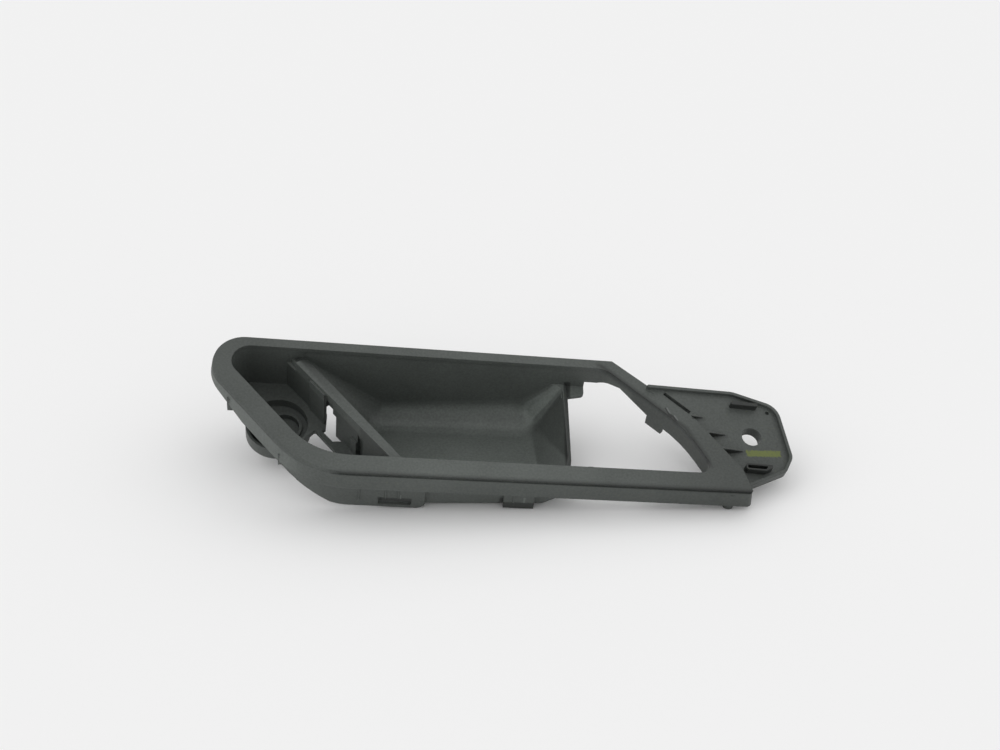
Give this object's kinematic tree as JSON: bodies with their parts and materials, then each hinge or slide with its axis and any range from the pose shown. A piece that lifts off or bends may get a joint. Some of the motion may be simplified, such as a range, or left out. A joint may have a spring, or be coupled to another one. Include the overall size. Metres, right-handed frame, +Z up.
{
  "type": "door handle trim cover",
  "caption": "Slanted black plastic trim cover for a car's inner door pull: rim frame with a deep finger cup, side well, open window and a sloped screw flange.",
  "frame": {"origin": "centre of the bounding box, at the bottom, where the cup's flat underside rests", "axes": "+X along the rim from the rounded well end to the screw flange, +Y from the near bar to the far bar, +Z up from the table"},
  "size_m": [0.2277, 0.067, 0.0477],
  "materials": {
    "charcoal_plastic": "fine-grained charcoal, low sheen"
  },
  "bodies": {
    "root": {"trim_cover": "charcoal_plastic"}
  },
  "joints": []
}
